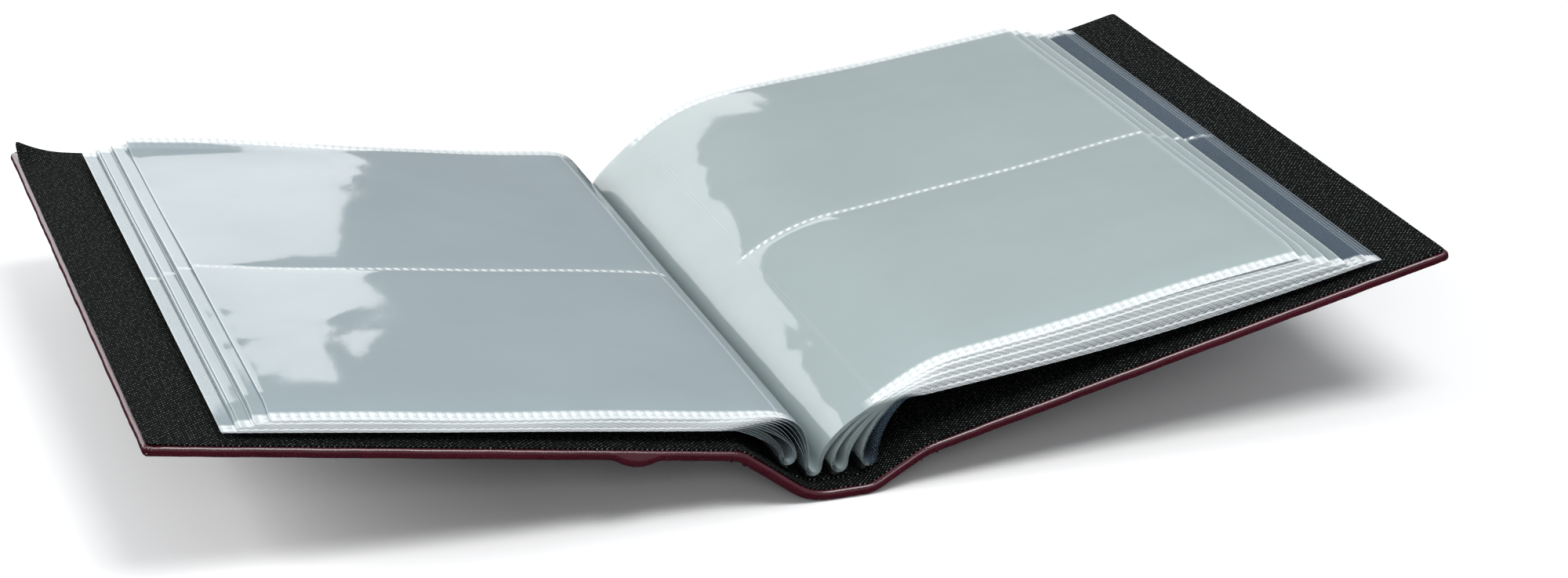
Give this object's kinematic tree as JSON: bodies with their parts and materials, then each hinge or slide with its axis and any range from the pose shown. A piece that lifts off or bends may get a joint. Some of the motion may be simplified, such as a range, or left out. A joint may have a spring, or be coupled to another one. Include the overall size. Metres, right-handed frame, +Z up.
{
  "type": "pocket album",
  "caption": "Open hard-cover pocket album with a rounded spine, cloth-lined padded covers and folded film leaves that each hold two side-loading pockets.",
  "frame": {"origin": "centre of the flat face that the spine rests on", "axes": "+X towards the back cover's fore-edge, +Y towards the head, +Z up from the resting face"},
  "size_m": [0.3827, 0.24, 0.0519],
  "materials": {
    "leatherette": "gloss",
    "padding": "matte",
    "greyboard": "matte",
    "lining_cloth": "matte",
    "binding_cloth": "matte",
    "glue": "satin",
    "pocket_film": "gloss"
  },
  "bodies": {
    "spine": {"spine_skin": "leatherette", "spine_foam": "padding", "spine_card": "greyboard", "spine_lining": "lining_cloth", "binding_tape": "binding_cloth", "binding_glue": "glue", "front_hinge_skin": "leatherette", "front_hinge_lining": "lining_cloth", "back_hinge_skin": "leatherette", "back_hinge_lining": "lining_cloth", "section_1_folds": "pocket_film", "section_2_folds": "pocket_film", "section_3_folds": "pocket_film", "section_4_folds": "pocket_film"},
    "front_cover": {"front_cover_skin": "leatherette", "front_cover_foam": "padding", "front_cover_board": "greyboard", "front_cover_lining": "lining_cloth", "front_cover_band": "leatherette"},
    "back_cover": {"back_cover_skin": "leatherette", "back_cover_foam": "padding", "back_cover_board": "greyboard", "back_cover_lining": "lining_cloth"},
    "leaf_01": {"leaf_01": "pocket_film"},
    "leaf_02": {"leaf_02": "pocket_film"},
    "leaf_03": {"leaf_03": "pocket_film"},
    "leaf_04": {"leaf_04": "pocket_film"},
    "leaf_05": {"leaf_05": "pocket_film"},
    "leaf_06": {"leaf_06": "pocket_film"},
    "leaf_07": {"leaf_07": "pocket_film"},
    "leaf_08": {"leaf_08": "pocket_film"},
    "leaf_09": {"leaf_09": "pocket_film"},
    "leaf_10": {"leaf_10": "pocket_film"},
    "leaf_11": {"leaf_11": "pocket_film"},
    "leaf_12": {"leaf_12": "pocket_film"},
    "leaf_13": {"leaf_13": "pocket_film"},
    "leaf_14": {"leaf_14": "pocket_film"},
    "leaf_15": {"leaf_15": "pocket_film"},
    "leaf_16": {"leaf_16": "pocket_film"},
    "leaf_17": {"leaf_17": "pocket_film"},
    "leaf_18": {"leaf_18": "pocket_film"},
    "leaf_19": {"leaf_19": "pocket_film"},
    "leaf_20": {"leaf_20": "pocket_film"},
    "leaf_21": {"leaf_21": "pocket_film"},
    "leaf_22": {"leaf_22": "pocket_film"},
    "leaf_23": {"leaf_23": "pocket_film"},
    "leaf_24": {"leaf_24": "pocket_film"},
    "leaf_25": {"leaf_25": "pocket_film"},
    "leaf_26": {"leaf_26": "pocket_film"},
    "leaf_27": {"leaf_27": "pocket_film"},
    "leaf_28": {"leaf_28": "pocket_film"},
    "leaf_29": {"leaf_29": "pocket_film"},
    "leaf_30": {"leaf_30": "pocket_film"},
    "leaf_31": {"leaf_31": "pocket_film"},
    "leaf_32": {"leaf_32": "pocket_film"}
  },
  "joints": [
    {"name": "front_cover_fold", "type": "hinge", "parent": "spine", "child": "front_cover", "pos_m": [-0.0272, 0, 0.0193], "axis": [0, 1, 0], "range_deg": [-7, 80.9], "deforming": ["front_hinge_skin", "front_hinge_lining"]},
    {"name": "back_cover_fold", "type": "hinge", "parent": "spine", "child": "back_cover", "pos_m": [0.027, 0, 0.0129], "axis": [0, -1, 0], "range_deg": [-6, 76.8], "deforming": ["back_hinge_skin", "back_hinge_lining"]},
    {"name": "leaf_01_turn", "type": "hinge", "parent": "spine", "child": "leaf_01", "pos_m": [-0.0265, 0, 0.023], "axis": [0, 1, 0], "range_deg": [-7.58, 82.3]},
    {"name": "leaf_02_turn", "type": "hinge", "parent": "spine", "child": "leaf_02", "pos_m": [-0.02496, 0, 0.02295], "axis": [0, 1, 0], "range_deg": [-7.58, 82.31]},
    {"name": "leaf_03_turn", "type": "hinge", "parent": "spine", "child": "leaf_03", "pos_m": [-0.02341, 0, 0.02289], "axis": [0, 1, 0], "range_deg": [-7.58, 82.32]},
    {"name": "leaf_04_turn", "type": "hinge", "parent": "spine", "child": "leaf_04", "pos_m": [-0.02186, 0, 0.02284], "axis": [0, 1, 0], "range_deg": [-7.58, 82.33]},
    {"name": "leaf_05_turn", "type": "hinge", "parent": "spine", "child": "leaf_05", "pos_m": [-0.02032, 0, 0.02278], "axis": [0, 1, 0], "range_deg": [-7.58, 82.34]},
    {"name": "leaf_06_turn", "type": "hinge", "parent": "spine", "child": "leaf_06", "pos_m": [-0.01877, 0, 0.02273], "axis": [0, 1, 0], "range_deg": [-7.58, 82.34]},
    {"name": "leaf_07_turn", "type": "hinge", "parent": "spine", "child": "leaf_07", "pos_m": [-0.01723, 0, 0.02267], "axis": [0, 1, 0], "range_deg": [-7.58, 82.36]},
    {"name": "leaf_08_turn", "type": "hinge", "parent": "spine", "child": "leaf_08", "pos_m": [-0.01568, 0, 0.02262], "axis": [0, 1, 0], "range_deg": [-7.58, 82.36]},
    {"name": "leaf_09_turn", "type": "hinge", "parent": "spine", "child": "leaf_09", "pos_m": [-0.01414, 0, 0.02256], "axis": [0, 1, 0], "range_deg": [-7.58, 82.37]},
    {"name": "leaf_10_turn", "type": "hinge", "parent": "spine", "child": "leaf_10", "pos_m": [-0.01259, 0, 0.02251], "axis": [0, 1, 0], "range_deg": [-7.58, 82.38]},
    {"name": "leaf_11_turn", "type": "hinge", "parent": "spine", "child": "leaf_11", "pos_m": [-0.01104, 0, 0.02245], "axis": [0, 1, 0], "range_deg": [-7.59, 82.39]},
    {"name": "leaf_12_turn", "type": "hinge", "parent": "spine", "child": "leaf_12", "pos_m": [-0.0095, 0, 0.0224], "axis": [0, 1, 0], "range_deg": [-7.59, 82.4]},
    {"name": "leaf_13_turn", "type": "hinge", "parent": "spine", "child": "leaf_13", "pos_m": [0.0089, 0, 0.0242], "axis": [0, -1, 0], "range_deg": [-6.95, 83.1]},
    {"name": "leaf_14_turn", "type": "hinge", "parent": "spine", "child": "leaf_14", "pos_m": [0.00959, 0, 0.02426], "axis": [0, -1, 0], "range_deg": [-6.95, 83.03]},
    {"name": "leaf_15_turn", "type": "hinge", "parent": "spine", "child": "leaf_15", "pos_m": [0.01028, 0, 0.02433], "axis": [0, -1, 0], "range_deg": [-6.94, 82.95]},
    {"name": "leaf_16_turn", "type": "hinge", "parent": "spine", "child": "leaf_16", "pos_m": [0.01097, 0, 0.02439], "axis": [0, -1, 0], "range_deg": [-6.94, 82.88]},
    {"name": "leaf_17_turn", "type": "hinge", "parent": "spine", "child": "leaf_17", "pos_m": [0.01166, 0, 0.02445], "axis": [0, -1, 0], "range_deg": [-6.93, 82.81]},
    {"name": "leaf_18_turn", "type": "hinge", "parent": "spine", "child": "leaf_18", "pos_m": [0.01235, 0, 0.02452], "axis": [0, -1, 0], "range_deg": [-6.92, 82.73]},
    {"name": "leaf_19_turn", "type": "hinge", "parent": "spine", "child": "leaf_19", "pos_m": [0.01304, 0, 0.02458], "axis": [0, -1, 0], "range_deg": [-6.92, 82.66]},
    {"name": "leaf_20_turn", "type": "hinge", "parent": "spine", "child": "leaf_20", "pos_m": [0.01373, 0, 0.02464], "axis": [0, -1, 0], "range_deg": [-6.91, 82.58]},
    {"name": "leaf_21_turn", "type": "hinge", "parent": "spine", "child": "leaf_21", "pos_m": [0.01442, 0, 0.02471], "axis": [0, -1, 0], "range_deg": [-6.91, 82.51]},
    {"name": "leaf_22_turn", "type": "hinge", "parent": "spine", "child": "leaf_22", "pos_m": [0.01511, 0, 0.02477], "axis": [0, -1, 0], "range_deg": [-6.9, 82.44]},
    {"name": "leaf_23_turn", "type": "hinge", "parent": "spine", "child": "leaf_23", "pos_m": [0.0158, 0, 0.02483], "axis": [0, -1, 0], "range_deg": [-6.9, 82.36]},
    {"name": "leaf_24_turn", "type": "hinge", "parent": "spine", "child": "leaf_24", "pos_m": [0.01648, 0, 0.0249], "axis": [0, -1, 0], "range_deg": [-6.89, 82.29]},
    {"name": "leaf_25_turn", "type": "hinge", "parent": "spine", "child": "leaf_25", "pos_m": [0.01717, 0, 0.02496], "axis": [0, -1, 0], "range_deg": [-6.88, 82.22]},
    {"name": "leaf_26_turn", "type": "hinge", "parent": "spine", "child": "leaf_26", "pos_m": [0.01786, 0, 0.02502], "axis": [0, -1, 0], "range_deg": [-6.88, 82.14]},
    {"name": "leaf_27_turn", "type": "hinge", "parent": "spine", "child": "leaf_27", "pos_m": [0.01855, 0, 0.02508], "axis": [0, -1, 0], "range_deg": [-6.87, 82.07]},
    {"name": "leaf_28_turn", "type": "hinge", "parent": "spine", "child": "leaf_28", "pos_m": [0.01924, 0, 0.02515], "axis": [0, -1, 0], "range_deg": [-6.87, 82]},
    {"name": "leaf_29_turn", "type": "hinge", "parent": "spine", "child": "leaf_29", "pos_m": [0.01993, 0, 0.02521], "axis": [0, -1, 0], "range_deg": [-6.86, 81.92]},
    {"name": "leaf_30_turn", "type": "hinge", "parent": "spine", "child": "leaf_30", "pos_m": [0.02062, 0, 0.02527], "axis": [0, -1, 0], "range_deg": [-6.86, 81.85]},
    {"name": "leaf_31_turn", "type": "hinge", "parent": "spine", "child": "leaf_31", "pos_m": [0.02131, 0, 0.02534], "axis": [0, -1, 0], "range_deg": [-6.85, 81.77]},
    {"name": "leaf_32_turn", "type": "hinge", "parent": "spine", "child": "leaf_32", "pos_m": [0.022, 0, 0.0254], "axis": [0, -1, 0], "range_deg": [-6.84, 81.7]}
  ],
  "couplings": [
    {"joint": "leaf_01_turn", "follows": "front_cover_fold", "ratio": 1.0111},
    {"joint": "leaf_02_turn", "follows": "front_cover_fold", "ratio": 1.0112},
    {"joint": "leaf_03_turn", "follows": "front_cover_fold", "ratio": 1.0113},
    {"joint": "leaf_04_turn", "follows": "front_cover_fold", "ratio": 1.0115},
    {"joint": "leaf_05_turn", "follows": "front_cover_fold", "ratio": 1.0116},
    {"joint": "leaf_06_turn", "follows": "front_cover_fold", "ratio": 1.0117},
    {"joint": "leaf_07_turn", "follows": "front_cover_fold", "ratio": 1.0118},
    {"joint": "leaf_08_turn", "follows": "front_cover_fold", "ratio": 1.0119},
    {"joint": "leaf_09_turn", "follows": "front_cover_fold", "ratio": 1.012},
    {"joint": "leaf_10_turn", "follows": "front_cover_fold", "ratio": 1.0121},
    {"joint": "leaf_11_turn", "follows": "front_cover_fold", "ratio": 1.0123},
    {"joint": "leaf_12_turn", "follows": "front_cover_fold", "ratio": 1.0124},
    {"joint": "leaf_13_turn", "follows": "back_cover_fold", "ratio": 1.0755},
    {"joint": "leaf_14_turn", "follows": "back_cover_fold", "ratio": 1.0746},
    {"joint": "leaf_15_turn", "follows": "back_cover_fold", "ratio": 1.0736},
    {"joint": "leaf_16_turn", "follows": "back_cover_fold", "ratio": 1.0726},
    {"joint": "leaf_17_turn", "follows": "back_cover_fold", "ratio": 1.0717},
    {"joint": "leaf_18_turn", "follows": "back_cover_fold", "ratio": 1.0707},
    {"joint": "leaf_19_turn", "follows": "back_cover_fold", "ratio": 1.0698},
    {"joint": "leaf_20_turn", "follows": "back_cover_fold", "ratio": 1.0688},
    {"joint": "leaf_21_turn", "follows": "back_cover_fold", "ratio": 1.0678},
    {"joint": "leaf_22_turn", "follows": "back_cover_fold", "ratio": 1.0669},
    {"joint": "leaf_23_turn", "follows": "back_cover_fold", "ratio": 1.0659},
    {"joint": "leaf_24_turn", "follows": "back_cover_fold", "ratio": 1.065},
    {"joint": "leaf_25_turn", "follows": "back_cover_fold", "ratio": 1.064},
    {"joint": "leaf_26_turn", "follows": "back_cover_fold", "ratio": 1.0631},
    {"joint": "leaf_27_turn", "follows": "back_cover_fold", "ratio": 1.0621},
    {"joint": "leaf_28_turn", "follows": "back_cover_fold", "ratio": 1.0611},
    {"joint": "leaf_29_turn", "follows": "back_cover_fold", "ratio": 1.0602},
    {"joint": "leaf_30_turn", "follows": "back_cover_fold", "ratio": 1.0592},
    {"joint": "leaf_31_turn", "follows": "back_cover_fold", "ratio": 1.0582},
    {"joint": "leaf_32_turn", "follows": "back_cover_fold", "ratio": 1.0573}
  ]
}
